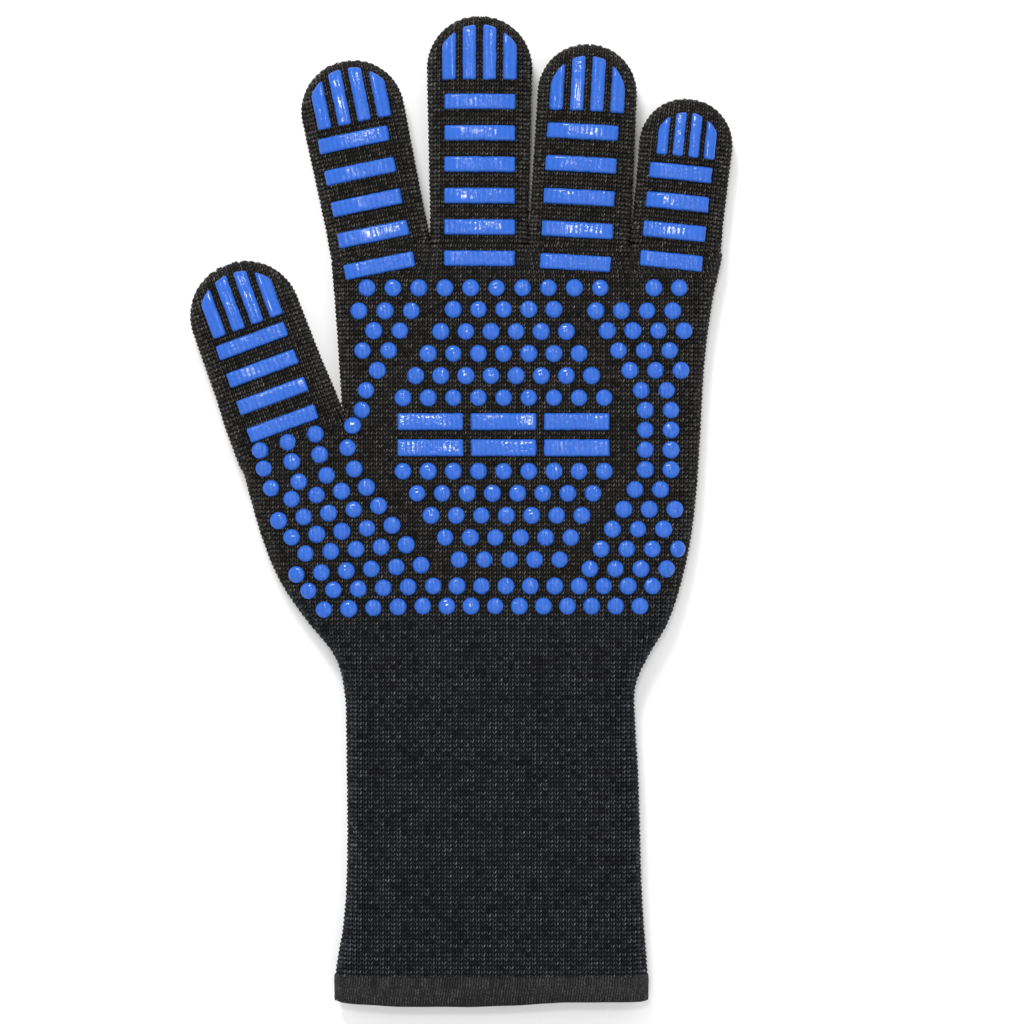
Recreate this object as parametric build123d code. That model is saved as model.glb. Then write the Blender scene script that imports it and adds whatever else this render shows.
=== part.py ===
from build123d import *
import os
from math import asin, atan2, cos, hypot, radians, sin, tan

# A long-cuff heat resistant glove for the left hand, lying on its back.
# Millimetres. +Z up out of the printed palm side, +Y towards the fingertips, +X towards the
# little finger. The origin is on the ground under the middle of the glove.

# Fabric and grips
THICKNESS = 15.0  # the whole glove as it lies, back to palm
EDGE_ROUND = 6.0  # rounding where the fabric turns over at the sides
SHELL = 1.8  # aramid knit
LINER = 1.2  # cotton knit inside it
GRIP = 0.9  # how far the silicone stands out of the knit
INNER = SHELL + LINER

# Joints: the fabric folds about a line just under the palm side's knit
FOLD_DEPTH = 2.0
FOLD_Z = THICKNESS - FOLD_DEPTH
GAP = 0.3  # between two bodies
KNUCKLE_BEND = 70  # the middle finger's stops at 50, so that its tip clears the two beside it
MIDDLE_BEND = 80
TIP_BEND = 40
THUMB_BASE_BEND = 55
THUMB_TIP_BEND = 70
WRIST_UP = 45
WRIST_DOWN = 30
WRIST_Y = -50.6

# Cuff
MOUTH_Y = -170.0
HEM = 9.0  # the overlocked band at the mouth
THREAD_WIDTH = 1.4
THREAD_DEPTH = 0.6

# Grips
BAR = (24.3, 5.5)
PALM_BAR = (22.8, 6.0)
BAR_CORNER = 0.8
DOT = 6.0

# Each digit is a stall that runs from its knuckle fold to a round tip.
# knuckle: middle of that fold. tip: centre of the round end. base: half width at the knuckle.
# round: radius of the end. bars: how many stand above the knuckle, at this pitch; one more
# stands below it. folds: the joints above the knuckle, as a distance from it.
# strip: width, pitch, start and clearance to the end of the four strips on the fingertip.
DIGITS = {
    "index": dict(
        knuckle=(-27.7, 89.1), tip=(-37.5, 137.0), base=17.1, round=17.7,
        bars=4, pitch=11.05, slide=-1.5, bar=BAR, folds=(22.1, 42.7), strip=(4.7, 6.9, 44.2, 3.1),
    ),
    "middle": dict(
        knuckle=(6.1, 91.3), tip=(6.3, 151.9), base=16.6, round=18.1,
        bars=5, pitch=10.8, slide=0.2, bar=BAR, folds=(32.4, 53.7), strip=(4.7, 6.9, 56.0, 3.6),
    ),
    "ring": dict(
        knuckle=(40.6, 90.0), tip=(43.5, 143.3), base=17.5, round=17.0,
        bars=4, pitch=11.3, slide=-0.9, bar=BAR, folds=(22.6, 44.3), strip=(4.7, 6.9, 46.5, 4.6),
    ),
    "little": dict(
        knuckle=(73.9, 90.0), tip=(77.6, 125.4), base=15.4, round=16.0,
        bars=3, pitch=10.2, slide=-1.0, bar=(21.3, 5.6), folds=(10.2, 29.5), strip=(3.8, 5.4, 30.9, 5.2),
    ),
    "thumb": dict(
        knuckle=(-62.6, 34.0), tip=(-74.6, 66.3), base=19.6, round=19.0,
        bars=3, pitch=10.1, slide=-0.6, bar=(24.9, 5.4), folds=(20.2,), strip=(4.7, 6.9, 30.3, 3.9),
    ),
}
ROOT = 12.0  # how far a stall runs into the hand below its knuckle


# ---- the outside of the glove, and the same shape taken in by an inset ----


def digit_plane(digit):
    """Local x runs across the stall, y along it from the knuckle."""
    (x, y), (tx, ty) = digit["knuckle"], digit["tip"]
    length = hypot(tx - x, ty - y)
    return Plane((x, y, 0), x_dir=((ty - y) / length, (x - tx) / length, 0), z_dir=(0, 0, 1)), length


def stall(digit, inset):
    """A stall: straight sides from the knuckle to where they touch the round end."""
    plane, length = digit_plane(digit)
    half = digit["base"] - inset
    end = digit["round"] - inset
    slant = atan2(length, -half) - asin(end / hypot(length, half))
    run = (length**2 + half**2 - end**2) ** 0.5
    touch_x = half + run * cos(slant)
    touch_y = run * sin(slant)
    plan = make_face(
        Polyline((-touch_x, touch_y), (-half, 0), (-half, -ROOT), (half, -ROOT), (half, 0), (touch_x, touch_y))
        + ThreePointArc((touch_x, touch_y), (0, length + end), (-touch_x, touch_y))
    )
    block = extrude(plane * Pos(0, 0, inset) * plan, THICKNESS - 2 * inset)
    rim = block.edges().filter_by(
        lambda e: abs(e.tangent_at(0.5).Z) < 0.1
        and plane.to_local_coords(e.center()).Y > 0.1 - ROOT
    )
    return fillet(rim, EDGE_ROUND - inset)


def block_of(plan, inset, outer):
    """A flat block of fabric, rounded along the edges that outer() picks by their middle point."""
    if inset:
        plan = offset(plan, amount=-inset, kind=Kind.INTERSECTION)
    block = extrude(Pos(0, 0, inset) * plan, THICKNESS - 2 * inset)
    rim = block.edges().filter_by(lambda e: abs(e.tangent_at(0.5).Z) < 0.1 and outer(e.center()))
    return fillet(rim, EDGE_ROUND - inset)


def palm(inset):
    wrist_r, heel, little_r = (64.3, WRIST_Y), (81.0, 10.0), (89.0, 87.2)
    index_l = (-44.4, 85.2)
    plan = make_face(
        Line((-39.2, WRIST_Y - ROOT), index_l)
        + Polyline(index_l, (-10.7, 90.4), (22.9, 89.8), (58.3, 88.4), little_r, (84.2, 50.0), heel)
        + ThreePointArc(heel, (76.0, -23.0), wrist_r)
        + Line(wrist_r, (59.0, WRIST_Y - ROOT))
        + Line((59.0, WRIST_Y - ROOT), (-39.2, WRIST_Y - ROOT))
    )
    return block_of(plan, inset, lambda c: WRIST_Y - 9 < c.Y < 84 and not -40 < c.X < 56)


def thumb_ball(inset):
    wrist_l, ball = (-43.4, WRIST_Y), (-76.4, 16.5)
    thumb_l, thumb_r = (-80.6, 27.3), (-43.9, 40.4)
    plan = make_face(
        ThreePointArc(wrist_l, (-64.4, -20.5), ball)
        + Polyline(ball, thumb_l, thumb_r, (-20.0, -10.0), (-20.0, WRIST_Y - ROOT), wrist_l)
    )
    return block_of(plan, inset, lambda c: c.X < -45 and c.Y < 28)


def cuff(inset):
    mouth_y = MOUTH_Y - ROOT
    plan = make_face(
        Polyline(
            (-43.4, mouth_y),
            (-39.6, -68.0),
            (-39.6, WRIST_Y + ROOT),
            (58.8, WRIST_Y + ROOT),
            (58.8, -68.0),
            (64.0, mouth_y),
            (-43.4, mouth_y),
        )
    )
    return block_of(plan, inset, lambda c: not -38 < c.X < 56)


def whole(inset, reach=100):
    """The glove in one piece, its stalls as far as the given station."""
    blocks = [thumb_ball(inset), cuff(inset)]
    for digit in DIGITS.values():
        plane, _ = digit_plane(digit)
        blocks.append(stall(digit, inset) & stretch(plane, -ROOT - 5, reach, 30))
    return palm(inset) + blocks


# ---- where the bodies part ----


def fold(plane, station, half_width, bend_up, bend_down=0, depth=FOLD_DEPTH):
    """The clearance that a fold needs, as a prism across the fabric at the given station."""
    axis_z = THICKNESS - depth
    over, under = depth + 4, axis_z + 4
    up = GAP / 2 + over * tan(radians(bend_up / 2 + 1))
    down = GAP / 2 + (under * tan(radians(bend_down / 2 + 1)) if bend_down else 0)
    outline = [
        (-GAP / 2, axis_z),
        (-up, axis_z + over),
        (up, axis_z + over),
        (GAP / 2, axis_z),
        (down, axis_z - under),
        (-down, axis_z - under),
    ]
    side = Plane(plane.from_local_coords((-half_width, station, 0)), x_dir=plane.y_dir, z_dir=plane.x_dir)
    face = side * make_face(Polyline(*outline, outline[0]))
    return extrude(face, amount=2 * half_width)


def stretch(plane, start, end, half_width):
    """Everything of a stall between two stations."""
    box = Box(2 * half_width, end - start, THICKNESS + 8, align=(Align.CENTER, Align.MIN, Align.MIN))
    return plane * Pos(0, start, -4) * box


def segments(digit):
    """Name, first station and last station of each moving length of a stall."""
    cuts = [0, *digit["folds"], 100]
    names = ["proximal", "middle", "tip"] if len(cuts) == 4 else ["proximal", "tip"]
    return list(zip(names, cuts, cuts[1:]))


def bends(name, digit):
    """Station and range of each fold of a stall."""
    angles = [THUMB_BASE_BEND, THUMB_TIP_BEND] if name == "thumb" else [KNUCKLE_BEND, MIDDLE_BEND, TIP_BEND]
    return list(zip([0, *digit["folds"]], angles))


# ---- silicone, drawn flat and laid over the knit ----


def rounded_bar(size):
    return RectangleRounded(*size, BAR_CORNER)


def stall_bars(digit):
    """The cross bars of a stall by station, the lowest one standing below the knuckle."""
    plane, _ = digit_plane(digit)
    stations = [(i - 0.5) * digit["pitch"] for i in range(digit["bars"] + 1)]
    return {s: plane * Pos(digit["slide"], s) * rounded_bar(digit["bar"]) for s in stations}


def tip_strips(digit):
    """Four strips along a fingertip, ending on a curve inside its round end."""
    plane, length = digit_plane(digit)
    width, pitch, start, clearance = digit["strip"]
    reach = digit["round"] - clearance
    room = length + reach - start
    strips = [Pos((k - 1.5) * pitch, start + room / 2) * Rectangle(width, room) for k in range(4)]
    end = Pos(0, length) * Circle(reach) + Pos(0, length / 2) * Rectangle(3 * reach, length)
    return [plane * (strip & end) for strip in strips]


def dots(rows):
    """Round dots in rows. A row is its first dot, how many, the step and the slope in degrees."""
    return [
        Pos(x + i * step * cos(radians(slope)), y + i * step * sin(radians(slope))) * Circle(DOT / 2)
        for x, y, count, step, slope in rows
        for i in range(count)
    ]


# The palm field: rows of five to nine dots, two rows of bars, rows of nine to five dots.
FIELD_X = 14.6
FIELD_STEP = 8.65
FIELD_ROW = 7.6
FIELD_TOP, FIELD_LOW = 37.9, 12.6  # the nine-dot rows above and below the bars
PALM_BAR_ROWS = (29.7, 20.7)
PALM_BAR_STEP = 25.2
# Beside it, rows a little closer together that keep this far from the palm field.
SIDE_STEP = 8.8
SIDE_ROW = 6.83
GUTTER = 14.2


def field_edge(y):
    """Half the width of the palm field at y, to the middle of its last dot."""
    middle = (FIELD_TOP + FIELD_LOW) / 2
    past = max(0, abs(y - middle) - (FIELD_TOP - middle))
    return 4 * FIELD_STEP - past * FIELD_STEP / 2 / FIELD_ROW


def palm_field():
    rows = []
    for i in range(5):
        count = 9 - i
        left = FIELD_X - (count - 1) / 2 * FIELD_STEP
        rows += [
            (left, FIELD_TOP + i * FIELD_ROW, count, FIELD_STEP, 0),
            (left + i * 0.5, FIELD_LOW - i * FIELD_ROW, count, FIELD_STEP, 0),
        ]
    return dots(rows)


def palm_bars():
    return [
        Pos(FIELD_X + k * PALM_BAR_STEP, y) * rounded_bar(PALM_BAR) for y in PALM_BAR_ROWS for k in (-1, 0, 1)
    ]


def side_field():
    """Dots under the fingers and down the little finger's side."""
    rows = [(-32.4, 75.7, 10, 8.92, 0), (66.3, 75.7, 2, SIDE_STEP, 0)]
    counts = (4, 4, 3, 3, 2, 2, 2, 2, 2, 2, 3, 3, 4, 4)
    for i, count in enumerate(counts):
        y = 67.8 - i * SIDE_ROW
        rows.append((FIELD_X + field_edge(y) + GUTTER, y, count, SIDE_STEP, 0))
    for i, count in enumerate((3, 2, 2, 1, 1, 1)):
        y = 67.8 - i * SIDE_ROW
        rows.append((FIELD_X - field_edge(y) - GUTTER, y, count, -9.0, 0))
    return dots(rows)


def thumb_field():
    """Rows over the ball of the thumb, each flatter than the one before, down to the heel."""
    rows = [(-37.4, 28.3, 1, 10, 0), (-50.2, 25.4, 3, -9.9, 16.5)]
    inner_ends = ((-39.1, 20.7), (-36.8, 13.4), (-32.6, 7.1), (-28.4, 0.7), (-23.8, -6.0), (-18.9, -12.7))
    counts = (4, 4, 4, 5, 5, 5)
    slopes = (14.0, 13.0, 9.0, 8.4, 6.8, 5.0)
    steps = (9.9, 9.8, 8.7, 8.7, 8.7, 8.7)
    rows += [(x, y, n, -step, a) for (x, y), n, step, a in zip(inner_ends, counts, steps, slopes)]
    rows += [(-13.8, -19.7, 6, -8.6, 4.3), (-9.6, -26.9, 6, -8.6, 2.2)]
    rows += [(-1.4, -26.9, 9, 8.4, 0), (-4.9, -33.8, 9, 8.3, 0), (-13.2, -33.8, 5, -8.5, 2.0)]
    return dots(rows)


def over(skin, sketches):
    """The grips that stand on a piece of knit: its skin where it is covered by the sketches."""
    prisms = [extrude(Pos(0, 0, THICKNESS / 2) * s, THICKNESS) for s in sketches]
    return [skin & p for p in prisms]


# ---- the pieces ----


def write(node, *shapes):
    solids = [s for shape in shapes for s in shape.solids()]
    export_step(Compound(label=node, children=solids), f"parts/{node}.step")


def make_digit(name, digit):
    plane, _ = digit_plane(digit)
    reach = digit["round"] + 6
    outside, between, inside = (stall(digit, inset) for inset in (0, SHELL, INNER))
    skin = stall(digit, -GRIP) - outside
    folds = [fold(plane, s, reach, bend) for s, bend in bends(name, digit)]
    bars = stall_bars(digit)
    for part, start, end in segments(digit):
        room = stretch(plane, start, end, reach) - folds
        write(f"{name}_{part}_shell", (outside & room) - between)
        write(f"{name}_{part}_liner", (between & room) - inside)
        printed = [bar for s, bar in bars.items() if start < s < end]
        if part == "tip":
            printed += tip_strips(digit)
        write(f"{name}_{part}_grips", *over(skin & room, printed))


def make_hand():
    wrist = Plane((10, WRIST_Y, 0), x_dir=(1, 0, 0), z_dir=(0, 0, 1))
    wrist_fold = fold(wrist, 0, 90, WRIST_UP, WRIST_DOWN, depth=THICKNESS / 2)
    between, inside = whole(SHELL), whole(INNER)
    outside, raised = whole(0, reach=0), whole(-GRIP, reach=0)
    room = Box(400, 400, 60) - stretch(wrist, -150, 0, 90) - wrist_fold
    for name, digit in DIGITS.items():
        plane, _ = digit_plane(digit)
        half = digit["base"] + 0.25
        room = room - stretch(plane, 0, 90, half) - fold(plane, 0, half, bends(name, digit)[0][1])
    write("hand_shell", (outside & room) - between)
    write("hand_liner", (between & room) - inside)
    roots = [stall_bars(d)[-d["pitch"] / 2] for d in DIGITS.values()]
    for node, sketches in (
        ("palm_dots", palm_field()),
        ("palm_bars", palm_bars()),
        ("finger_base_dots", side_field()),
        ("thumb_ball_dots", thumb_field()),
    ):
        write(node, *[(extrude(Pos(0, 0, THICKNESS / 2) * s, THICKNESS) & raised) - outside for s in sketches])
    below = THICKNESS - GRIP
    write("knuckle_bars", *[extrude(Pos(0, 0, below) * bar, 2 * GRIP) - outside for bar in roots])

    sleeve = stretch(wrist, -150, 0, 90) - wrist_fold
    band = Pos(10, MOUTH_Y, 0) * Box(300, HEM, 60, align=(Align.CENTER, Align.MIN, Align.CENTER))
    beyond = Pos(10, MOUTH_Y, 0) * Box(300, 40, 60, align=(Align.CENTER, Align.MAX, Align.CENTER))
    stitched = Pos(10, MOUTH_Y + HEM * 0.7, 0) * Box(300, THREAD_WIDTH, 60)
    hem = cuff(0) & band
    thread = (hem & stitched) - cuff(THREAD_DEPTH)
    body = sleeve - band - beyond
    write("cuff_shell", (outside & body) - between)
    write("cuff_liner", (between & body) - inside)
    write("cuff_hem", hem - cuff(INNER) - stitched + ((hem & stitched & cuff(THREAD_DEPTH)) - cuff(INNER)))
    write("hem_thread", thread)


os.makedirs("parts", exist_ok=True)
for digit_name, digit in DIGITS.items():
    make_digit(digit_name, digit)
make_hand()
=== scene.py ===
from math import cos, hypot, pi, sin, sqrt

import bmesh
import bpy
import numpy as np
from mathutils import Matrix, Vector, noise


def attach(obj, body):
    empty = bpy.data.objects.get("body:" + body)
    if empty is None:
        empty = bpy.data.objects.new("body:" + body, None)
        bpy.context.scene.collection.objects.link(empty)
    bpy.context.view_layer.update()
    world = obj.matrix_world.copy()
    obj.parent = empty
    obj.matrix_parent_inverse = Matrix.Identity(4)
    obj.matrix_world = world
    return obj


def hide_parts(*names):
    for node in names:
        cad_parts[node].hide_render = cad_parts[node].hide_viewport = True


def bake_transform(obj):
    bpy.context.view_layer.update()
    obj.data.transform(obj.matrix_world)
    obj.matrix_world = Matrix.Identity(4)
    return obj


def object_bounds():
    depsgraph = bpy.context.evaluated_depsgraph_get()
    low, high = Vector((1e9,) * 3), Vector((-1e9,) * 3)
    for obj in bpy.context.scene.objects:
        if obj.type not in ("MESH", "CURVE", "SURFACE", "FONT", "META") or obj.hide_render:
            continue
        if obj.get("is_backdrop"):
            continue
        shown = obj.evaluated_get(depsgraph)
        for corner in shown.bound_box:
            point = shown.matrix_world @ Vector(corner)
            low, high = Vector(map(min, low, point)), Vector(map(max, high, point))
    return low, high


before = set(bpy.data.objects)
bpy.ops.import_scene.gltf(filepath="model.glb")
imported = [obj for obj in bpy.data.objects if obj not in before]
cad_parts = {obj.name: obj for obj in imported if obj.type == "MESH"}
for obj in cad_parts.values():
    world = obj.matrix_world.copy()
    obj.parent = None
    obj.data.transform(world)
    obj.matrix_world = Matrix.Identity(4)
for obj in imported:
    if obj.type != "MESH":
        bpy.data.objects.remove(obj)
cad_low, cad_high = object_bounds()


# ---------------------------------------------------------------------------------------------
# How the glove lies. Every piece of knit is a flattened tube: rounded over at both sides, softly
# domed on the printed side and flat where it rests. A tube is worked out course by course, as
# the knitting machine makes it, from its left and right edges.
# ---------------------------------------------------------------------------------------------
THICK = 0.015
FOLD_Z = THICK - 0.002  # the height of every finger hinge, just under the printed side
KNIT_BULK = 0.0004  # half of the yarn's thickness, which stands over the cloth
UNDER_SOFT = 0.55  # the underside rounds over in this share of the top's distance
RESTING = 0.45  # below this share of the thickness the cloth lies still
# slow swells of the upper face: height, how many a metre across and along, slice of the noise
SWELLS = ((0.0011, 45, 38, 3.1), (0.0005, 130, 110, 7.7))


def clamped(value):
    return min(1.0, max(0.0, value))


def eased(t):
    """A share from 0 to 1 that starts and stops gently."""
    return t * t * (3 - 2 * t)


def rounding(q):
    """How far a quarter-round edge still is from its full height, q of the way in."""
    return 1 - sqrt(1 - (1 - q) ** 2)


class Course:
    """One course of a tube: where its sides are, how far in the rounding reaches, its height."""

    def __init__(self, left, right, soft, room=None, sink=None):
        self.left, self.right, self.soft = left, right, soft
        self.room = room or (lambda x: min(x - left, right - x))
        self.sink = sink or (lambda x: 0.0)

    def top(self, x):
        return THICK - THICK / 2 * rounding(clamped(self.room(x) / self.soft)) - self.sink(x)

    def under(self, x):
        return THICK / 2 * rounding(clamped(self.room(x) / (self.soft * UNDER_SOFT)))

    def half(self, middle, side, steps=44):
        """The way from the middle of the top round one side to the middle of the underside."""
        edge = self.right if side > 0 else self.left
        turn = np.sin(np.linspace(0, pi / 2, steps))
        xs = middle + (edge - middle) * turn
        over = [(x, self.top(x)) for x in xs]
        back = [(x, self.under(x)) for x in xs[::-1]]
        return np.array(over + back[1:])


def walk(line):
    """How far along a line each of its points is."""
    return np.concatenate([[0], np.cumsum(np.hypot(*np.diff(line, axis=0).T))])


def at(line, lengths):
    far = walk(line)
    return np.stack([np.interp(lengths, far, line[:, k]) for k in (0, 1)], 1)


def puff(points):
    """Cloth is never quite even: slow swells on the upper face, none where it rests."""
    for p in points:
        lift = max(0.0, p[2] / THICK - RESTING)
        for height, across, along_it, slice_ in SWELLS:
            p[2] += height * lift * noise.noise(Vector((p[0] * across, p[1] * along_it, slice_)))
    return points


def new_object(name, mesh):
    thing = bpy.data.objects.new(name, mesh)
    bpy.context.scene.collection.objects.link(thing)
    return thing


def smooth(mesh):
    mesh.polygons.foreach_set("use_smooth", [True] * len(mesh.polygons))
    return mesh


def mesh_of(name, verts, faces):
    mesh = bpy.data.meshes.new(name)
    mesh.from_pydata(verts, [], faces)
    return smooth(mesh)


def give(mesh, word, kind, values):
    """Writes a value, or a vector, for every point of a mesh."""
    layer = mesh.attributes.new(word, kind, "POINT")
    flat = np.array([tuple(v) if kind == "FLOAT_VECTOR" else v for v in values], np.float32).ravel()
    layer.data.foreach_set("vector" if kind == "FLOAT_VECTOR" else "value", flat)


def pattern(mesh):
    """A shape that is only copied: it is kept out of the picture, and removed at the end."""
    thing = new_object(mesh.name, mesh)
    thing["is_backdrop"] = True
    thing.hide_render = True
    return thing


class Tube:
    """A tube of knit. lay(station) gives its course there; place(x, station, z) puts it."""

    def __init__(self, lay, place, middle=0.0):
        self.lay, self.place, self.middle = lay, place, middle

    def top(self, x, s):
        return self.lay(s).top(x)

    def cloth(self, name, stations, inset=KNIT_BULK, sides=22):
        """The cloth itself, an even ring of points at each station, shrunk in by an inset."""
        verts, count = [], 4 * sides - 2
        insets = inset if np.ndim(inset) else [inset] * len(stations)
        for s, shrink in zip(stations, insets):
            course = self.lay(s)
            halves = [course.half(self.middle, side) for side in (1, -1)]
            right, left = [at(line, np.linspace(0, walk(line)[-1], sides * 2)) for line in halves]
            middle_x, middle_z = (course.left + course.right) / 2, THICK / 2
            half = max((course.right - course.left) / 2, shrink)
            for x, z in np.concatenate([right, left[-2:0:-1]]):
                x += (middle_x - x) * shrink / half
                z += (middle_z - z) * shrink / middle_z
                verts.append(self.place(x, s, z))
        faces = [
            (a + i, a + (i + 1) % count, a + count + (i + 1) % count, a + count + i)
            for a in range(0, (len(stations) - 1) * count, count)
            for i in range(count)
        ]
        mesh = mesh_of(name, puff([list(v) for v in verts]), faces)
        mesh.validate()
        return new_object(name, mesh)

    def lattice(self, stations, wale):
        """Where each stitch sits and which way it runs, with the wales evenly spaced round the tube.

        Each is (place, run, across, station, how many courses it has beside it, wale number)."""
        rows = []
        for s in stations:
            course = self.lay(s)
            row = {}
            for side in (1, -1):
                line = course.half(self.middle, side)
                count = int(round(walk(line)[-1] / wale))
                marks = (np.arange(count) + 0.5) * wale
                for i, (x, z) in enumerate(at(line, marks)):
                    row[i if side > 0 else -i - 1] = puff([list(self.place(x, s, z))])[0]
            rows.append(row)
        spots = []
        for j, (s, row) in enumerate(zip(stations, rows)):
            ahead = rows[min(j + 1, len(rows) - 1)]
            behind = rows[max(j - 1, 0)]
            for i, here in row.items():
                after, before = ahead.get(i, here), behind.get(i, here)
                run = Vector(after) - Vector(before)
                across = Vector(row.get(i + 1, here)) - Vector(row.get(i - 1, here))
                if run.length < 1e-6 or across.length < 1e-6:
                    continue
                beside = (after is not here) + (before is not here)
                spots.append((Vector(here), run, across, s, beside, i))
        return spots


def even(tube, start, end, step):
    """Stations the same distance apart over the cloth, so the courses don't spread where it dips."""
    fine = np.linspace(start, end, 400)
    height = [tube.top(tube.middle, s) for s in fine]
    far = walk(np.stack([fine, height], 1))
    return np.interp(np.arange(step / 2, far[-1], step), far, fine)


# ---------------------------------------------------------------------------------------------
# The yarn: black aramid, spun from fine fibres; where they catch the light, short pale streaks are
# painted into its colour as a highlight. A stitch is two plump legs that meet in a V, and each V grows
# out of the one below.
# ---------------------------------------------------------------------------------------------
def wire(tree, node, inputs):
    """Gives a node's inputs their values, or links another node's outputs to them."""
    for name, value in inputs.items():
        if isinstance(value, bpy.types.NodeSocket):
            tree.links.new(value, node.inputs[name])
        else:
            node.inputs[name].default_value = value


def add(tree, kind, inputs=(), **settings):
    node = tree.nodes.new(kind)
    for name, value in settings.items():
        setattr(node, name, value)
    wire(tree, node, dict(inputs))
    return node


def maths(tree, operation, *inputs):
    return add(tree, "ShaderNodeMath", enumerate(inputs), operation=operation).outputs[0]


def new_material(name):
    material = bpy.data.materials.new(name)
    material.use_nodes = True
    return material, material.node_tree, material.node_tree.nodes["Principled BSDF"]


def fibre_material(name, dark, pale, rough=0.65, whole=0.0):
    """Dark between the stitches, with a painted highlight in the pale colour along the top ridge of each leg,
    in short lighter fibres.
    """
    material, tree, surface = new_material(name)
    place = add(tree, "ShaderNodeTexCoord").outputs["Object"]
    fibres = add(tree, "ShaderNodeTexNoise", {"Scale": 1900, "Detail": 3, "Vector": place}).outputs["Fac"]
    sharp = add(
        tree, "ShaderNodeMapRange", {"Value": fibres, "From Min": 0.46, "From Max": 0.68, "To Min": 0.15}
    ).outputs["Result"]
    tone = add(tree, "ShaderNodeAttribute", attribute_name="tone").outputs["Fac"]
    crown = add(tree, "ShaderNodeAttribute", attribute_name="crown").outputs["Fac"]
    # the pale colour is a painted highlight: it lies along the top ridge of each stitch leg in short fibre
    # streaks; whole spreads the pale fibres over meshes without ridges
    streaks = maths(tree, "MULTIPLY", sharp, maths(tree, "MULTIPLY_ADD", tone, 0.9, 0.12))
    share = maths(tree, "MULTIPLY", streaks, maths(tree, "MAXIMUM", crown, whole))
    mix = add(tree, "ShaderNodeMix", {"A": (*dark, 1), "B": (*pale, 1), "Factor": share}, data_type="RGBA")
    bump = add(tree, "ShaderNodeBump", {"Strength": 0.35, "Distance": 0.0002, "Height": fibres})
    wire(
        tree, surface,
        {
            "Roughness": rough, "Specular IOR Level": 0.12,
            "Base Color": mix.outputs["Result"], "Normal": bump.outputs["Normal"],
        },
    )
    return material


# on the palm and cuff yarn the pale colour is a painted highlight on the ridges of the stitch legs
palm_yarn = fibre_material("palm_yarn", (0.0024, 0.0023, 0.0022), (0.36, 0.34, 0.31))
cuff_yarn = fibre_material("cuff_yarn", (0.0028, 0.0030, 0.0036), (0.315, 0.335, 0.365))
cloth_black = fibre_material("cloth_black", (0.0030, 0.0030, 0.0032), (0.012, 0.012, 0.012))
lining_black = fibre_material("lining_black", (0.020, 0.020, 0.021), (0.07, 0.07, 0.073), 0.9, 0.8)


# where a leg is thick: share of its length, half width and height, each a share of the stitch; then how
# strong its painted highlight is
LEG = ((0.22, 0.13, 0.26, 0.6), (0.52, 0.19, 0.42, 1.0), (0.82, 0.13, 0.26, 0.6))  # and how pale
LEG_SINK = -0.08


def stitch_shape():
    """One stitch, a wale wide and a course high, lying flat: both legs, each thick in the middle."""
    verts, faces, crown = [], [], []
    for side in (-1, 1):
        foot, knee, shoulder = np.array(((side * 0.03, -0.62), (side * 0.25, -0.02), (side * 0.36, 0.58)))
        first = len(verts)
        verts.append((*foot, 0.02))
        crown.append(0.0)
        for t, wide, tall, light in LEG:
            x, y = (1 - t) ** 2 * foot + 2 * t * (1 - t) * knee + t * t * shoulder
            tilt = side * wide * 0.35
            verts += [(x - wide, y + tilt, LEG_SINK), (x, y, tall), (x + wide, y - tilt, LEG_SINK)]
            # painted highlight along the top ridge of each leg, twice as strong on the right-leaning leg,
            # none at its sunk edges
            crown += [0.0, (1.0 if side > 0 else 0.5) * light, 0.0]
        verts.append((*shoulder, 0.0))
        crown.append(0.0)
        last = len(verts) - 1
        faces += [(first, first + 2, first + 1), (first, first + 3, first + 2)]
        for k in (1, 4):
            for j in (0, 1):
                a = first + k + j
                faces.append((a, a + 1, a + 4, a + 3))
        faces += [(last, last - 3, last - 2), (last, last - 2, last - 1)]
    mesh = mesh_of("stitch", verts, faces)
    give(mesh, "crown", "FLOAT", crown)
    return pattern(mesh)


stitch = stitch_shape()


def repeat_tree(name):
    """Geometry Nodes: a copy of a shape on every point, turned to lie and run as the point says."""
    tree = bpy.data.node_groups.new(name, "GeometryNodeTree")
    for word, kind in (
        ("Geometry", "Geometry"), ("Shape", "Object"), ("Material", "Material"),
        ("Unevenness", "Float"), ("Seed", "Int"),
    ):
        tree.interface.new_socket(word, in_out="INPUT", socket_type=f"NodeSocket{kind}")
    tree.interface.new_socket("Geometry", in_out="OUTPUT", socket_type="NodeSocketGeometry")
    entry, leave = add(tree, "NodeGroupInput").outputs, add(tree, "NodeGroupOutput")
    shape = add(tree, "GeometryNodeObjectInfo", {"Object": entry["Shape"]}).outputs["Geometry"]
    kind = "GeometryNodeInputNamedAttribute"
    lie, run, fit = [
        add(tree, kind, {"Name": word}, data_type="FLOAT_VECTOR").outputs["Attribute"]
        for word in ("lie", "run", "fit")
    ]
    turn = add(
        tree, "FunctionNodeAxesToRotation", {"Primary Axis": lie, "Secondary Axis": run},
        primary_axis="Z", secondary_axis="Y",
    ).outputs["Rotation"]
    low, high = [maths(tree, word, 1.0, entry["Unevenness"]) for word in ("SUBTRACT", "ADD")]
    limits = {2: low, 3: high, "Seed": entry["Seed"]}
    vary = add(tree, "FunctionNodeRandomValue", limits, data_type="FLOAT").outputs[1]
    size = add(tree, "ShaderNodeVectorMath", {0: fit, "Scale": vary}, operation="SCALE")
    copies = add(
        tree, "GeometryNodeInstanceOnPoints",
        {"Points": entry["Geometry"], "Instance": shape, "Rotation": turn, "Scale": size.outputs["Vector"]},
    ).outputs["Instances"]
    real = add(tree, "GeometryNodeRealizeInstances", {"Geometry": copies}).outputs["Geometry"]
    paint = add(tree, "GeometryNodeSetMaterial", {"Geometry": real, "Material": entry["Material"]})
    wire(tree, leave, {"Geometry": paint.outputs["Geometry"]})
    return tree


repeat = repeat_tree("repeat_on_points")


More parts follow.
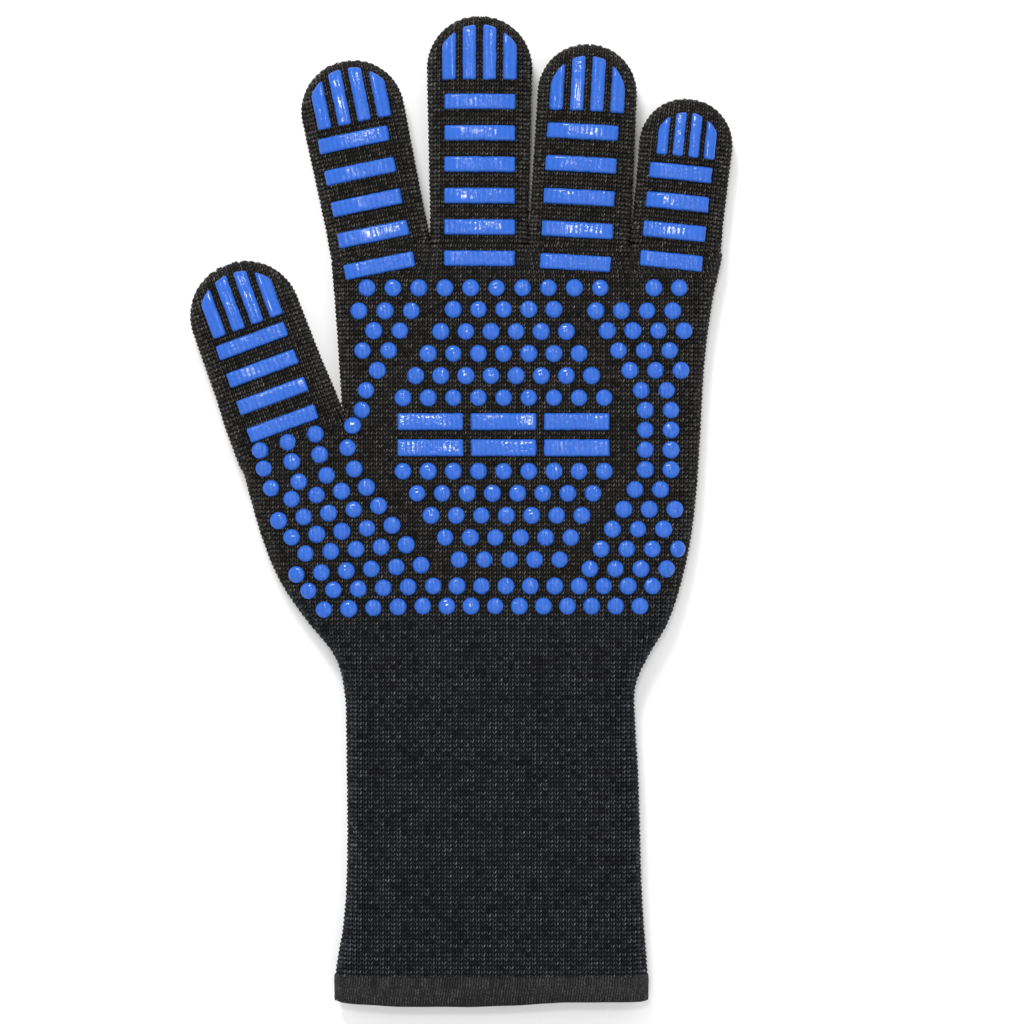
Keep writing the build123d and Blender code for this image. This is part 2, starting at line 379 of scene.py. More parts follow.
def repeated(name, spots, shape, material, unevenness=0.06, seed=1):
    """A plain mesh of copies. A spot is (place, lie, run, fit, tone): where it is, which way its
    top and its far end point, its size three ways, and how pale its yarn is."""
    places, *vectors, tones = zip(*spots)
    mesh = mesh_of(name + "_points", [tuple(p) for p in places], [])
    for word, values in zip(("lie", "run", "fit"), vectors):
        give(mesh, word, "FLOAT_VECTOR", values)
    give(mesh, "tone", "FLOAT", tones)
    points = new_object(name + "_points", mesh)
    modifier = points.modifiers.new("copies", "NODES")
    modifier.node_group = repeat
    inputs = {s.name: s.identifier for s in repeat.interface.items_tree if s.in_out == "INPUT"}
    settings = {"Shape": shape, "Material": material, "Unevenness": unevenness, "Seed": seed}
    for word, value in settings.items():
        modifier[inputs[word]] = value
    bpy.context.view_layer.update()
    graph = bpy.context.evaluated_depsgraph_get()
    made = bpy.data.meshes.new_from_object(
        points.evaluated_get(graph), preserve_all_data_layers=True, depsgraph=graph
    )
    bpy.data.objects.remove(points)
    made.name = name
    for word in ("lie", "run", "fit"):
        if word in made.attributes:
            made.attributes.remove(made.attributes[word])
    return new_object(name, smooth(made))


WIDEST, TALLEST, NARROWEST = 1.3, 1.7, 0.6  # how far a stitch may stretch or crowd, in its own size


def shade_of(here, wale, seed):
    """How pale a stitch is: each differs, and so do whole wales and whole courses."""
    own = 0.45 + 0.8 * noise.noise(here * 900)
    in_wale = noise.noise(Vector((wale * 0.7, 0.3, seed)))
    in_course = noise.noise(Vector((here.y * 2000, 1.3, 0)))
    return max(0, own + 0.2 * (in_wale + in_course))


def knit(name, tube, span, gauge, material, courses, keep=None, seed=1):
    """The stitches between two stations of a tube, whose courses are all given, of a wale's width
    and a course's height. keep(place) says whether a stitch is there."""
    (start, end), (wale, course) = span, gauge
    spots = []
    for here, run, across, s, beside, i in tube.lattice(courses, wale):
        if not start <= s < end or (keep and not keep(here)):
            continue
        wide = across.length / wale
        if wide > WIDEST:  # it has a neighbour on either side, so the reach is two wales
            wide = min(wide / 2, WIDEST)
        tall = min(run.length / max(beside, 1), course * TALLEST)
        fit = (wale * max(wide, NARROWEST), tall, wale * 0.95)
        spots.append((here, across.cross(run).normalized(), run, fit, shade_of(here, i, seed)))
    return repeated(name, spots, stitch, material, 0.07, seed)


# ---------------------------------------------------------------------------------------------
# The cuff, wrist and hand: one long tube of knit, narrow at the wrist, swelling over the ball
# of the thumb and the heel of the hand, and creased between the roots of the fingers.
# ---------------------------------------------------------------------------------------------
CUFF_START, CUFF_END = -0.162, -0.072  # from under the hem to where the wrist starts to bend
HAND_START, HAND_END = -0.029, 0.0945  # past the wrist, and up under the first finger courses
HAND_CUTS = (0.012, 0.053)  # the hand's knit is three pieces
KNUCKLES = 0.0905
HAND_MIDDLE = 0.0105
HAND_SOFT = 0.0105  # how far in from its sides the hand's rounding reaches
CREASES = (-0.0105, 0.0229, 0.0583)  # between the finger roots
CREASE_LENGTH, CREASE_HALF = 0.016, 0.0085

# the outline of cuff and hand, as (y, x) points; the thumb's own outline isn't in it
left_side = np.array(
    [
        (-0.180, -0.0433), (-0.162, -0.0430), (-0.142, -0.0400), (-0.121, -0.0389), (-0.080, -0.0392),
        (-0.063, -0.0399), (-0.0506, -0.0434), (-0.0385, -0.0530), (-0.0248, -0.0623), (-0.011, -0.0681),
        (0.003, -0.0723), (0.0125, -0.0748), (0.0159, -0.0759), (0.0227, -0.0584), (0.0296, -0.0408),
        (0.036, -0.0409), (0.058, -0.0423), (0.079, -0.0439), (0.100, -0.0458),
    ]
)
right_side = np.array(
    [
        (-0.180, 0.0640), (-0.162, 0.0638), (-0.135, 0.0619), (-0.094, 0.0606), (-0.066, 0.0592),
        (-0.059, 0.0603), (-0.0506, 0.0643), (-0.0385, 0.0712), (-0.018, 0.0774), (0.003, 0.0805),
        (0.023, 0.0819), (0.051, 0.0836), (0.072, 0.0864), (0.088, 0.0897), (0.100, 0.0902),
    ]
)


def along(side, y):
    """A side's place at y, eased through its points."""
    k = min(max(int(np.searchsorted(side[:, 0], y)) - 1, 1), len(side) - 3)
    (y0, a), (y1, b), (y2, c), (y3, d) = side[k - 1 : k + 3]
    t = (y - y1) / (y2 - y1)
    slope_b, slope_c = (c - a) / (y2 - y0) * (y2 - y1), (d - b) / (y3 - y1) * (y2 - y1)
    return (
        (2 * t**3 - 3 * t**2 + 1) * b
        + (t**3 - 2 * t**2 + t) * slope_b
        + (-2 * t**3 + 3 * t**2) * c
        + (t**3 - t**2) * slope_c
    )


def crease(x, y):
    """How deep the cloth dips between two finger roots, fading out into the palm."""
    fade = clamped((y - (KNUCKLES - CREASE_LENGTH)) / CREASE_LENGTH)
    room = min(abs(x - c) for c in CREASES)
    return THICK / 2 * rounding(clamped(room / CREASE_HALF)) * eased(fade)


thumb_knuckle, thumb_end = Vector((-0.0626, 0.0340)), Vector((-0.0746, 0.0663))
thumb_way = (thumb_end - thumb_knuckle).normalized()
THUMB_HALF = 0.0196
THUMB_SEAM = -0.012  # where the hand's courses stop at the root of the thumb
THUMB_DEEP = -0.016  # the thumb's shape fades out of the hand's below this
THUMB_NEAR = 0.004  # the hand and the thumb share one shape up to here
FORK_TOP, FORK_FADE = 0.0385, 0.012  # the web between thumb and hand, and how it fades in
WEB, WEB_SIDE = 0.026, 0.010  # how wide the web rounds, and how it fades in across the thumb
FORK_SIDE = -0.005  # how far across the thumb its own knit starts to follow the web


def from_thumb(x, y):
    """Across the thumb and along it from its knuckle."""
    far = Vector((x, y)) - thumb_knuckle
    return far.x * thumb_way.y - far.y * thumb_way.x, far.dot(thumb_way)


def webbed(a, b, across, y):
    """Room inside either of two outlines, filled in between them below the fork of the thumb."""
    k = WEB * clamped((FORK_TOP - y) / FORK_FADE) * clamped(across / WEB_SIDE)
    h = max(k - abs(a - b), 0) / k if k > 0 else 0
    return max(a, b) + h * h * k / 4


def hand_course(y):
    left, right = along(left_side, y), along(right_side, y)

    def room(x):
        near = min(x - left, right - x)
        across, up = from_thumb(x, y)
        thumb_room = THUMB_HALF - abs(across) - max(0.0, THUMB_DEEP - up)
        return webbed(near, thumb_room, across, y) if up < THUMB_NEAR else near

    return Course(left, right, HAND_SOFT, room, lambda x: crease(x, y))


hand_tube = Tube(hand_course, lambda x, y, z: (x, y, z), HAND_MIDDLE)


def finish(piece, node, slot, body=None, bend=None):
    """Hides the CAD parts a piece stands for, and hangs it on its body; a piece on a bend between two bodies
    only has its placing baked into its mesh.
    """
    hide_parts(*([node] if isinstance(node, str) else node))
    if bend:
        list(bend)
        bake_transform(piece)
    else:
        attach(piece, body)
    return piece


def painted(piece, material):
    piece.data.materials.append(material)
    return piece


# each finger's knuckle, the middle of its round end, its half width at the knuckle, its end's radius
FINGERS = {
    "index": ((-0.0277, 0.0891), (-0.0375, 0.1370), 0.0171, 0.0177),
    "middle": ((0.0061, 0.0913), (0.0063, 0.1519), 0.0166, 0.0181),
    "ring": ((0.0406, 0.0900), (0.0435, 0.1433), 0.0175, 0.0170),
    "little": ((0.0739, 0.0900), (0.0776, 0.1254), 0.0154, 0.0160),
}
THUMB_SIDE = -0.039  # right of this the hand's courses run on past the thumb


def on_hand(here):
    """Whether the hand's knit is there: not on the thumb, and not past a finger's knuckle."""
    across, up = from_thumb(here.x, here.y)
    if up > THUMB_SEAM and abs(across) < THUMB_HALF and here.x < THUMB_SIDE:
        return False
    knuckle, end, _, _ = list(FINGERS.values())[sum(here.x > c for c in CREASES)]
    way = (Vector(end) - Vector(knuckle)).normalized()
    return (Vector((here.x, here.y)) - Vector(knuckle)).dot(way) < 0


PALM_GAUGE = PALM_WALE, PALM_COURSE = 0.0017, 0.0015
CUFF_GAUGE = CUFF_WALE, CUFF_COURSE = 0.00194, 0.0015
LINING_DEPTH = 0.0022  # how far the liner lies inside the outline
WRIST_BEND = ("cuff", "hand", (0.010, -0.070, 0.0075), (0.010, -0.031, 0.0075))

cuff_courses = even(hand_tube, CUFF_START, HAND_START, CUFF_COURSE)
cuff = knit("cuff_knit", hand_tube, (CUFF_START, CUFF_END), CUFF_GAUGE, cuff_yarn, cuff_courses, seed=3)
finish(cuff, "cuff_shell", "aramid_knit", "cuff")
wrist = knit("wrist_knit", hand_tube, (CUFF_END, HAND_START), CUFF_GAUGE, cuff_yarn, cuff_courses, seed=4)
finish(wrist, ("cuff_shell", "hand_shell"), "aramid_knit", bend=WRIST_BEND)
palm_courses = even(hand_tube, HAND_START, HAND_END, PALM_COURSE)
ends = (HAND_START, *HAND_CUTS, HAND_END)
for k, span in enumerate(zip(ends, ends[1:])):
    palm = knit(f"hand_knit_{k + 1}", hand_tube, span, PALM_GAUGE, palm_yarn, palm_courses, on_hand, 5 + k)
    finish(palm, "hand_shell", "aramid_knit", "hand")
for name, start, end, nodes, body, bend in (
    ("cuff", -0.1665, CUFF_END, ("cuff",), "cuff", None),
    ("wrist", CUFF_END, HAND_START, ("cuff", "hand"), None, WRIST_BEND),
    ("hand", HAND_START, KNUCKLES, ("hand",), "hand", None),
):
    stations = np.linspace(start, end, max(6, int((end - start) / 0.003)))
    cloth = painted(hand_tube.cloth(f"{name}_cloth", stations, sides=40), cloth_black)
    finish(cloth, [f"{n}_shell" for n in nodes], "aramid_knit", body, bend)
    lining = painted(hand_tube.cloth(f"{name}_lining", stations, LINING_DEPTH, sides=30), lining_black)
    finish(lining, [f"{n}_liner" for n in nodes], "cotton_liner", body, bend)


# ---------------------------------------------------------------------------------------------
# The finger stalls and the thumb: tubes of the same knit, each closed over a round end. Each is made
# in lengths that meet mid-segment, between its knuckle and its one or two folds.
# ---------------------------------------------------------------------------------------------
ROOT_TAPER = 0.07  # how a finger narrows below its knuckle, tucked inside the hand's knit
ROOT_SOFT, STALL_SOFT = 0.0085, 0.0125  # how far in from its sides a stall's rounding reaches
BULK_FADE, SOFT_FADE = 0.010, 0.015
BEND_PAST = 0.009  # a bend ends this far past its hinge


class Stall:
    """One finger or thumb. Its stations count from the knuckle. folds are its hinges past the
    knuckle, cuts are where its lengths meet, reaches how far before a hinge each bend starts."""

    def __init__(self, name, knuckle, end, base, round_end, folds, cuts, reaches):
        self.name, self.base, self.round_end = name, base, round_end
        self.knuckle, end = Vector(knuckle), Vector(end)
        self.length = (end - self.knuckle).length
        self.way = (end - self.knuckle).normalized()
        self.side = Vector((self.way.y, -self.way.x))
        self.folds, self.cuts, self.reaches = folds, cuts, reaches
        self.tube = Tube(self.course, self.place)
        self.end = self.length + round_end - KNIT_BULK - 0.00001

    def place(self, x, s, z):
        spot = self.knuckle + self.side * x + self.way * s
        return spot.x, spot.y, z

    def course(self, s):
        past = s - self.length
        if past > 0:
            radius = self.round_end - KNIT_BULK
            half = sqrt(max(radius**2 - past**2, 1e-8))
            return Course(-half, half, STALL_SOFT, lambda x: radius - hypot(x, past))
        half = self.base + (self.round_end - self.base) * max(0, s) / self.length
        if self.name != "thumb":
            half += ROOT_TAPER * min(0, s)
        half -= KNIT_BULK * clamped(s / BULK_FADE)

        def room(x):
            px, py, _ = self.place(x, s, 0)
            forked = self.name == "thumb" and s < THUMB_NEAR and x > FORK_SIDE
            return webbed(half - abs(x), px - along(left_side, py), x, py) if forked else half - abs(x)

        return Course(-half, half, ROOT_SOFT + (STALL_SOFT - ROOT_SOFT) * eased(clamped(s / SOFT_FADE)), room)

    def at(self, s):
        return (*(self.knuckle + self.way * s), FOLD_Z)


STALLS = [
    Stall("index", *FINGERS["index"], (0.0221, 0.0427), (0.0110, 0.03315), (0.0110, 0.009, 0.009)),
    Stall("middle", *FINGERS["middle"], (0.0324, 0.0537), (0.0216, 0.0432), (0.0160, 0.009, 0.009)),
    Stall("ring", *FINGERS["ring"], (0.0226, 0.0443), (0.0113, 0.0339), (0.0113, 0.009, 0.009)),
    Stall("little", *FINGERS["little"], (0.0102, 0.0295), (0.0062, 0.01985), (0.0062, 0.004, 0.009)),
    Stall("thumb", thumb_knuckle, thumb_end, THUMB_HALF, 0.0190, (0.0202,), (0.0101,), (0.0101, 0.009)),
]
LENGTHS = {2: ("proximal", "tip"), 3: ("proximal", "middle", "tip")}


def lengths_of(stall):
    """Name, first and last station, and the bend of each length of a stall."""
    names = LENGTHS[len(stall.cuts) + 1]
    ends = [0.0, *stall.cuts, stall.end]
    bodies = ["hand", *[f"{stall.name}_{n}" for n in names]]
    for k, name in enumerate(names):
        if k == 0:
            low, high = 0.0, stall.reaches[0]  # here, how far past the knuckle the bend ends
        else:
            low = max(stall.folds[k - 1] - stall.reaches[k], stall.cuts[k - 1])
            high = stall.folds[k - 1] + BEND_PAST
        bend = (bodies[k], bodies[k + 1], stall.at(low), stall.at(high))
        yield f"{stall.name}_{name}", ends[k], ends[k + 1], bend


for k, stall in enumerate(STALLS):
    courses = even(stall.tube, 0.0, stall.end, PALM_COURSE)
    bow = stall.length + stall.round_end * np.sin(np.linspace(0.05, pi / 2, 12))
    closing = [stall.length, *[s for s in bow if s < stall.end], stall.end]
    for j, (name, start, end, bend) in enumerate(lengths_of(stall)):
        seed = 20 + 3 * k + j
        stitches = knit(f"{name}_knit", stall.tube, (start, end), PALM_GAUGE, palm_yarn, courses, None, seed)
        finish(stitches, f"{name}_shell", "aramid_knit", bend=bend)
        first = start - (0.001 if start == 0 else 0)
        stations = list(np.arange(first, min(end, stall.length), 0.0022))
        stations += [end] if end < stall.length else closing
        cloth = painted(stall.tube.cloth(f"{name}_cloth", stations, sides=16), cloth_black)
        finish(cloth, f"{name}_shell", "aramid_knit", bend=bend)
        inner = [s for s in stations if s < stall.end - LINING_DEPTH]
        lining = painted(stall.tube.cloth(f"{name}_lining", inner, LINING_DEPTH, sides=14), lining_black)
        finish(lining, f"{name}_liner", "cotton_liner", bend=bend)

# the root of the thumb grows out of the side of the hand, and dips under its last courses
thumb = STALLS[-1]
DIP, DIP_LENGTH = 0.0015, 0.003
courses = even(thumb.tube, THUMB_SEAM, 0.0, PALM_COURSE)
root = knit("thumb_root_knit", thumb.tube, (THUMB_SEAM, 0.0), PALM_GAUGE, palm_yarn, courses, None, 40)
finish(root, "hand_shell", "aramid_knit", "hand")
for name, inset, material, node, slot in (
    ("thumb_root_cloth", KNIT_BULK, cloth_black, "hand_shell", "aramid_knit"),
    ("thumb_root_lining", LINING_DEPTH, lining_black, "hand_liner", "cotton_liner"),
):
    stations = np.linspace(THUMB_SEAM - DIP_LENGTH, 0.0, 9)
    insets = [inset + DIP * max(0.0, (THUMB_SEAM - s) / DIP_LENGTH) for s in stations]
    finish(painted(thumb.tube.cloth(name, stations, insets, sides=16), material), node, slot, "hand")


# ---------------------------------------------------------------------------------------------
# The hem: the mouth is turned over and overlocked, a dense band of slanting thread that stands
# a little proud of the knit and rolls over the edge into the lining.
# ---------------------------------------------------------------------------------------------
hem_cloth = fibre_material("hem_cloth", (0.009, 0.009, 0.0095), (0.07, 0.07, 0.073), 0.75, 0.8)
hem_yarn = fibre_material("hem_yarn", (0.007, 0.007, 0.0073), (0.17, 0.17, 0.176), 0.65, 0.5)
# how the hem's cloth turns in over the edge: (y, how far inside the outline)
ROLL = [
    (-0.1640, 0.0030), (-0.1688, 0.0028), (-0.1703, 0.0018), (-0.1707, 0.0007), (-0.1703, -0.0001),
    (-0.1690, -0.0003), (-0.1665, -0.0004), (-0.1635, -0.0003), (-0.1614, 0.0), (-0.1606, 0.0008),
]


def sag(p):
    """The mouth hangs a little below straight, most of it left of the middle."""
    edge = max(0.0, (-0.1610 - p[1]) / 0.0095)
    bow = 0.0016 * max(0.0, cos((p[0] + 0.006) * 38))
    ripple = 0.0004 * noise.noise(Vector((p[0] * 70, 2, 2)))
    p[1] -= edge * (bow - 0.0004 + ripple)
    return p


hem = painted(hand_tube.cloth("hem_band", [y for y, _ in ROLL], [i for _, i in ROLL], sides=50), hem_cloth)
for v in hem.data.vertices:
    v.co = sag(list(v.co))
finish(hem, "cuff_hem", "hem_knit", "cuff")


def thread_shape(steps=7, slant=0.35):
    """A slanting pass of thread, one across its own width: a low round ridge, thin at its ends."""
    verts = []
    for t in np.linspace(-0.5, 0.5, steps):
        swell = sqrt(max(0.0, 1 - (2 * t) ** 2)) * 0.35 + 0.12
        for wide, tall in ((-1, None), (-0.6, 0.7), (0.6, 0.7), (1, None)):
            verts.append((t * slant + wide * swell, t, -0.15 if tall is None else swell * tall))
    corners = [4 * k + j for k in range(steps - 1) for j in range(3)]
    return pattern(mesh_of("thread_pass", verts, [(a, a + 1, a + 5, a + 4) for a in corners]))


thread = thread_shape()
course = hand_tube.lay(-0.166)
# three rows of passes: their place, length and thickness
THREAD_ROWS = ((-0.1688, 0.0030, 0.0007), (-0.1663, 0.0034, 0.0008), (-0.1634, 0.0046, 0.0009))
THREAD_STEP = 0.0009
passes = []
for side in (1, -1):
    line = course.half(HAND_MIDDLE, side)
    for j, (y, tall, thick) in enumerate(THREAD_ROWS):
        for x, z in at(line, np.arange(0.0004 + 0.0004 * j, walk(line)[-1], THREAD_STEP)):
            out = Vector((x - HAND_MIDDLE, 0, (z - THICK / 2) * 6)).normalized()
            here = Vector(sag(puff([[x, y, z]])[0])) + out * 0.0005
            tone = 0.5 + 0.6 * noise.noise(here * 700)
            passes.append((here, out, Vector((0, 1, 0)), (thick, tall, thick), tone))
finish(repeated("hem_stitches", passes, thread, hem_yarn, 0.12, 9), "hem_thread", "hem_thread", "cuff")


# ---------------------------------------------------------------------------------------------
# Silicone: poured through a stencil onto the knit and cured there, so it lies over the courses
# in low glossy pads with soft edges, and the stitches under it show through as rows of dimples.
# ---------------------------------------------------------------------------------------------
def silicone_material():
    """Glossy blue, dimpled in rows where the stitches show through, more in some patches; its colour has
    painted shade in the dimples and painted light on their rises.
    """
    material, tree, surface = new_material("silicone_blue")
    lay = add(tree, "ShaderNodeAttribute", attribute_name="lay").outputs["Vector"]
    scale = (1 / PALM_WALE, 1 / PALM_COURSE, 1)
    scaled = add(tree, "ShaderNodeMapping", {"Vector": lay, "Scale": scale}).outputs["Vector"]
    waves = {"Vector": scaled, "Scale": 0.314, "Distortion": 1.6, "Detail": 1.0}
    rows = add(tree, "ShaderNodeTexWave", waves, bands_direction="X").outputs["Fac"]
    lumps = add(tree, "ShaderNodeTexNoise", {"Vector": scaled, "Scale": 1.3, "Detail": 2.0}).outputs["Fac"]
    dimples = maths(tree, "MULTIPLY_ADD", rows, 0.35, lumps)
    patches = add(tree, "ShaderNodeTexNoise", {"Vector": lay, "Scale": 55}).outputs["Fac"]
    where = add(
        tree, "ShaderNodeMapRange",
        {"Value": patches, "From Min": 0.42, "From Max": 0.60, "To Min": 0.15, "To Max": 1.0},
    ).outputs["Result"]
    bump = add(tree, "ShaderNodeBump", {"Distance": 0.0005, "Height": dimples, "Strength": where})
    # painted shade in the dimples and painted light on their rises: the blue darkens and lightens with the
    # dimples' height
    painted_dimple_shades = {"A": (0.010, 0.075, 0.38, 1), "B": (0.021, 0.117, 0.53, 1), "Factor": dimples}
    painted_dimple_shade = add(tree, "ShaderNodeMix", painted_dimple_shades, data_type="RGBA")
    wire(
        tree, surface,
        {
            "Roughness": 0.13, "IOR": 1.42,
            "Base Color": painted_dimple_shade.outputs["Result"], "Normal": bump.outputs["Normal"],
        },
    )
    return material


silicone = silicone_material()
RISE = 0.00135  # from the cloth to the top of a pad, over the stitches it buries
EDGE = 0.0011  # how far in a pad's rounded edge reaches
EDGE_LINES = (0.72, 0.47, 0.26, 0.1, 0.0)  # lines of points over the edge, each a share of it
SUNK = 0.0004  # a pad's very rim lies this deep in the cloth


def skin_at(tube, x, s):
    """A point on the outside of the cloth and the way out of it."""

    def put(x, s):
        return Vector(puff([list(tube.place(x, s, tube.top(x, s)))])[0])

    step = 0.0005
    along_x, along_s = put(x + step, s) - put(x - step, s), put(x, s + step) - put(x, s - step)
    return put(x, s), along_x.cross(along_s).normalized()


def marks_to(half):
    """Lines across half a pad, close together where its edge rounds over."""
    inner = half - EDGE
    count = max(2, int(inner / 0.0009))
    lines = [inner * k / count for k in range(count + 1)] + [half - EDGE * share for share in EDGE_LINES]
    return np.array([-v for v in lines[:0:-1]] + lines)


def pad(tube, x, s, half_x, half_s, corner, lean=None):
    """One pad's points, faces and lay. lean(x) moves its far end, for pads that stop on a curve."""
    us, vs = marks_to(half_x), marks_to(half_s)
    verts, lay = [], []
    for v in vs:
        for u in us:
            a, b = abs(u) - (half_x - corner), abs(v) - (half_s - corner)
            if a > 0 and b > 0:
                pull = max(a, b) / hypot(a, b)
                away = corner - max(a, b)
                pu, pv = np.sign(u) * (half_x - corner + a * pull), np.sign(v) * (half_s - corner + b * pull)
            else:
                away, pu, pv = min(half_x - abs(u), half_s - abs(v)), u, v
            ragged = 0.00022 * noise.noise(Vector(((x + pu) * 420, (s + pv) * 420, 5.0)))
            reach = 1 + ragged / max(hypot(pu, pv), 0.001) * (1 if away < EDGE else 0.3)
            px, ps = x + pu * reach, s + pv * reach
            if lean:
                ps += lean(px) * (pv / half_s + 1) / 2
            here, out = skin_at(tube, px, ps)
            q = clamped(away / EDGE)
            verts.append(here + out * (RISE * (1 - rounding(q)) - (SUNK if away <= 1e-9 else 0)))
            lay.append((px, ps, 0))
    wide, deep = len(us), len(vs)
    corners = [j * wide + i for j in range(deep - 1) for i in range(wide - 1)]
    faces = [(a, a + 1, a + wide + 1, a + wide) for a in corners]
    rim = [(0, i) for i in range(wide)] + [(j, wide - 1) for j in range(1, deep)]
    rim += [(deep - 1, i) for i in range(wide - 2, -1, -1)] + [(j, 0) for j in range(deep - 2, 0, -1)]
    faces.append([j * wide + i for j, i in rim[::-1]])
    return verts, faces, lay


def printed(name, pads):
    """One mesh of pads: each is (tube, x, station, half width, half length, corner, lean)."""
    verts, faces, lay = [], [], []
    for measures in pads:
        own_verts, own_faces, own_lay = pad(*measures)
        faces += [[len(verts) + i for i in face] for face in own_faces]
        verts += own_verts
        lay += own_lay
    mesh = mesh_of(name, verts, faces)
    give(mesh, "lay", "FLOAT_VECTOR", lay)
    return painted(new_object(name, mesh), silicone)


def dome_shape(around=16):
    """A dot of silicone, six millimetres across, as it slumps before it cures."""
    rings = [(0.0030, -0.0004), (0.00296, 0.0004), (0.0025, 0.0010), (0.0014, 0.0014)]
    turns = [2 * pi * k / around for k in range(around)]
    verts = [(r * cos(turn), r * sin(turn), z) for r, z in rings for turn in turns] + [(0, 0, 0.0015)]
    faces = []
    for first in range(0, (len(rings) - 1) * around, around):
        for k in range(around):
            a, b = first + k, first + (k + 1) % around
            faces.append((a, b, b + around, a + around))
    top = (len(rings) - 1) * around
    faces += [(top + k, top + (k + 1) % around, len(verts) - 1) for k in range(around)]
    faces.append(list(range(around))[::-1])
    return pattern(mesh_of("silicone_dot", verts, faces))


def islands(node):
    """The middle of each separate grip of a CAD node."""
    work = bmesh.new()
    work.from_mesh(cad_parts[node].data)
    bmesh.ops.remove_doubles(work, verts=work.verts, dist=1e-5)
    left, middles = set(work.verts), []
    while left:
        group, edge = set(), [left.pop()]
        while edge:
            v = edge.pop()
            group.add(v)
            for link in v.link_edges:
                other = link.other_vert(v)
                if other in left:
                    left.discard(other)
                    edge.append(other)
        xs, ys = [v.co.x for v in group], [v.co.y for v in group]
        middles.append(((min(xs) + max(xs)) / 2, (min(ys) + max(ys)) / 2))
    work.free()
    return sorted(middles)


dot = dome_shape()
for seed, node in enumerate(("palm_dots", "finger_base_dots", "thumb_ball_dots")):
    spots = []
    for x, y in islands(node):
        on_thumb = node == "thumb_ball_dots" and from_thumb(x, y)[1] > THUMB_SEAM
        here, out = skin_at(thumb.tube, *from_thumb(x, y)) if on_thumb else skin_at(hand_tube, x, y)
        spots.append((here, out, Vector((0, 1, 0)), (1, 1, 1), 0.5))
    dots = repeated(node + "_cured", spots, dot, silicone, 0.03, 50 + seed)
    give(dots.data, "lay", "FLOAT_VECTOR", [v.co for v in dots.data.vertices])
    finish(dots, node, "silicone", "hand")

palm_bars = [(hand_tube, x, y, 0.0114, 0.0030, 0.0007) for x, y in islands("palm_bars")]
finish(printed("palm_bars_cured", palm_bars), "palm_bars", "silicone", "hand")


class KnuckleSkin:
    """The skin just below a knuckle: in its stall's own directions, but at the hand's height."""

    def __init__(self, stall):
        self.stall, self.place = stall, stall.place

    def top(self, x, s):
        px, py, _ = self.place(x, s, 0)
        return self.stall.tube.top(x, s) if self.stall.name == "thumb" else hand_tube.top(px, py)


# Bars across each stall, a last one below the knuckle, and four strips along each fingertip.
# Each stall has: bars, their pitch, sideways shift, half width and half length; then its strips'
# half width, pitch, the station where they start, and how far they stop before the end.
PRINTS = {
    "index": (4, 0.01105, -0.0015, 0.01215, 0.00275, (0.00235, 0.0069, 0.0442, 0.0031)),
    "middle": (5, 0.0108, 0.0002, 0.01215, 0.00275, (0.00235, 0.0069, 0.0560, 0.0036)),
    "ring": (4, 0.0113, -0.0009, 0.01215, 0.00275, (0.00235, 0.0069, 0.0465, 0.0046)),
    "little": (3, 0.0102, -0.0010, 0.01065, 0.0028, (0.0019, 0.0054, 0.0309, 0.0052)),
    "thumb": (3, 0.0101, -0.0006, 0.01245, 0.0027, (0.00235, 0.0069, 0.0303, 0.0039)),
}
BAR_CORNER, STRIP_CORNER = 0.0008, 0.0009


def strips_of(stall, half_strip, pitch, start, clear):
    """Four strips that stop on one curve, just inside the round end."""
    reach = stall.round_end - clear
    for k in range(4):
        x = (k - 1.5) * pitch
        top = sqrt(reach**2 - x**2) + stall.length

        def lean(x, top=top):
            return sqrt(max(reach**2 - x**2, 1e-7)) + stall.length - top

        yield stall.tube, x, (start + top) / 2, half_strip, (top - start) / 2, STRIP_CORNER, lean


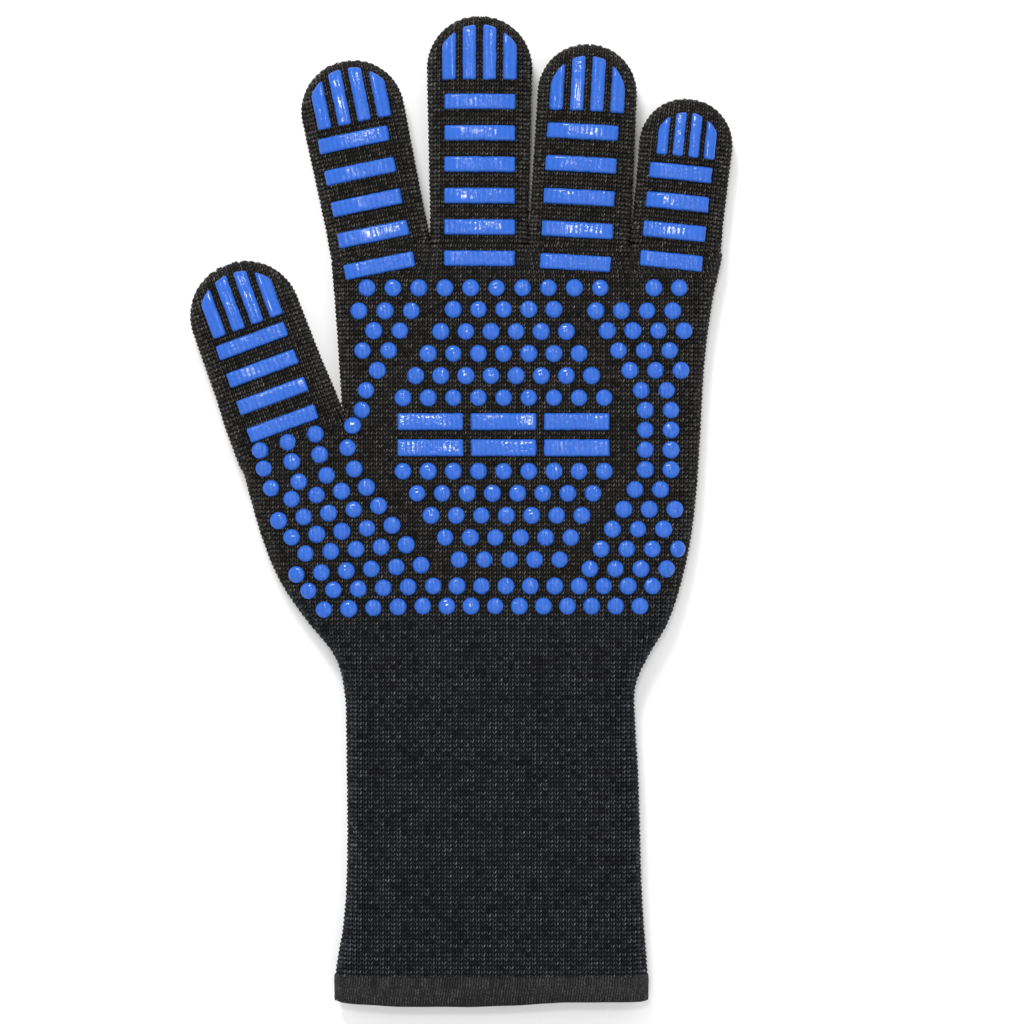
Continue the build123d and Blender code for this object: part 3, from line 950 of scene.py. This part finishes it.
knuckle_bars = []
for stall in STALLS:
    count, pitch, slide, half_x, half_s, strips = PRINTS[stall.name]
    bars = [(stall.tube, slide, (i + 0.5) * pitch, half_x, half_s, BAR_CORNER) for i in range(count)]
    for name, low, high, bend in lengths_of(stall):
        here = [b for b in bars if low <= b[2] < high]
        if name.endswith("tip"):
            here += strips_of(stall, *strips)
        finish(printed(f"{name}_grips_cured", here), f"{name}_grips", "silicone", bend=bend)
    knuckle_bars.append((KnuckleSkin(stall), slide, -pitch / 2, half_x, half_s, BAR_CORNER))
finish(printed("knuckle_bars_cured", knuckle_bars), "knuckle_bars", "silicone", "hand")

for shape in (stitch, thread, dot):
    bpy.data.objects.remove(shape)


# ---------------------------------------------------------------------------------------------
# The table: a sheet of white paper, one large soft light high on the left and white walls.
# ---------------------------------------------------------------------------------------------
bpy.ops.mesh.primitive_plane_add(size=6, location=(0, 0, -0.0007))
paper = bpy.context.object
paper.name = "paper"
white, tree, surface = new_material("white_paper")
wire(tree, surface, {"Base Color": (0.92, 0.92, 0.92, 1), "Roughness": 0.9})
painted(paper, white)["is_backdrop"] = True


def soft_light(name, place, size, watts):
    light = bpy.data.lights.new(name, "AREA")
    light.shape, light.size, light.energy = "SQUARE", size, watts
    lamp = new_object(name, light)
    lamp.location = place
    lamp.rotation_euler = (-Vector(place)).to_track_quat("-Z", "Y").to_euler()
    lamp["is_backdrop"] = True


soft_light("window", (-0.35, 1.25, 1.35), 0.42, 18)
soft_light("lamp", (-0.07, 0.27, 1.55), 0.13, 4)
soft_light("fill", (0.7, -0.6, 1.7), 1.2, 5)

world = bpy.data.worlds.new("walls")
world.use_nodes = True
wire(world.node_tree, world.node_tree.nodes["Background"], {"Color": (1, 1, 1, 1), "Strength": 0.9})
bpy.context.scene.world = world
bpy.context.scene.view_settings.view_transform = "Standard"

lens = bpy.data.cameras.new("overhead")
camera = new_object("overhead", lens)
DISTANCE, SENSOR, VIEW_WIDTH = 1.6, 36, 0.3524  # the view's width is at the printed side
camera.location = (0.0175, -0.0014, DISTANCE)
lens.sensor_width = SENSOR
lens.lens = SENSOR * (DISTANCE - THICK) / VIEW_WIDTH
bpy.context.scene.camera = camera
camera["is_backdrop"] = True

low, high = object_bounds()
{"cad": [list(cad_low), list(cad_high)], "visual": [list(low), list(high)]}
